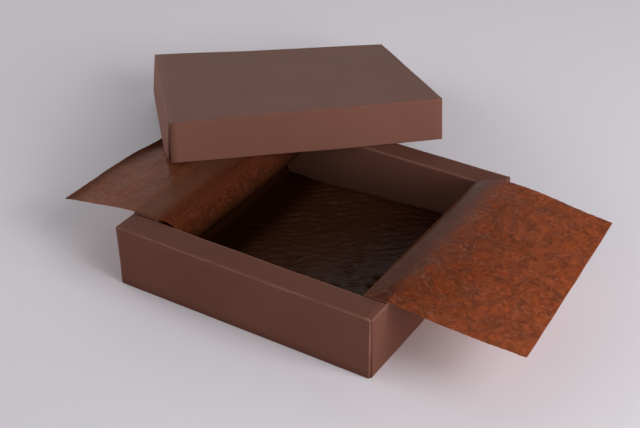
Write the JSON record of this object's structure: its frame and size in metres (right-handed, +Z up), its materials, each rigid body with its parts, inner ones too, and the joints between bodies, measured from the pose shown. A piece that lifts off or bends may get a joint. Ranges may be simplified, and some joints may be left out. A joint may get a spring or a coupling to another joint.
{
  "type": "praline box",
  "caption": "Folded card praline box: square tray with hollow walls, shallow lid leaning askew on one corner, and a glassine liner strip laid out over both end walls",
  "frame": {"origin": "middle of the underside of the tray's floor, on the table", "axes": "+X along the two long hollow walls towards the longer liner flap, +Y towards the wall that the lid lies across, +Z up"},
  "size_m": [0.3133, 0.2606, 0.0555],
  "materials": {
    "tray_card": "matte, chocolate brown",
    "lid_card": "matte, chocolate brown",
    "glassine": "satin, translucent, crinkled"
  },
  "bodies": {
    "root": {"tray": "tray_card", "lid": "lid_card", "liner": "glassine"}
  },
  "joints": []
}
